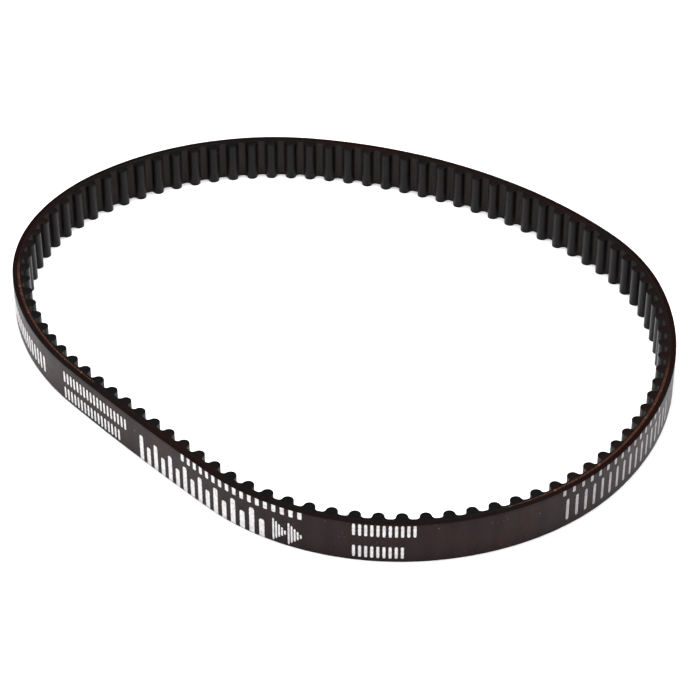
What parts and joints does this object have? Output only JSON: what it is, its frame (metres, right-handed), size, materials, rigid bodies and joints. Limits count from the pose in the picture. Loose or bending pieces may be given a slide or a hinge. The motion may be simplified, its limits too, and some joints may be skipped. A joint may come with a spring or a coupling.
{
  "type": "timing belt",
  "caption": "Endless synchronous belt with round teeth inside and a smooth printed back, lying on edge as a loose egg-shaped loop.",
  "frame": {"origin": "middle of the loop's overall box, on the plane of the lower cut edge that the belt rests on", "axes": "+Z along the belt's width, the direction of the pulley shafts; +X along the longest extent of the loop; +Y away from the side with the nearly straight run"},
  "size_m": [0.0916, 0.09, 0.006],
  "materials": {
    "backing_rubber": "satin",
    "cord_rubber": "matte",
    "glass_cord": "matte",
    "tooth_rubber": "matte",
    "facing_fabric": "matte",
    "print_white": "matte",
    "print_silver": "satin"
  },
  "bodies": {
    "root": {"back_cover": "backing_rubber", "cord_bed": "cord_rubber", "tension_cord_s": "glass_cord", "tension_cord_z": "glass_cord", "tooth_cores": "tooth_rubber", "tooth_facing": "facing_fabric", "print_main_row": "print_white", "print_cut_row": "print_white", "print_arrow": "print_white", "print_double_row": "print_white", "print_size_row": "print_silver", "print_size_cut_row": "print_silver", "print_origin_rows": "print_white", "print_batch_row": "print_white"}
  },
  "joints": []
}
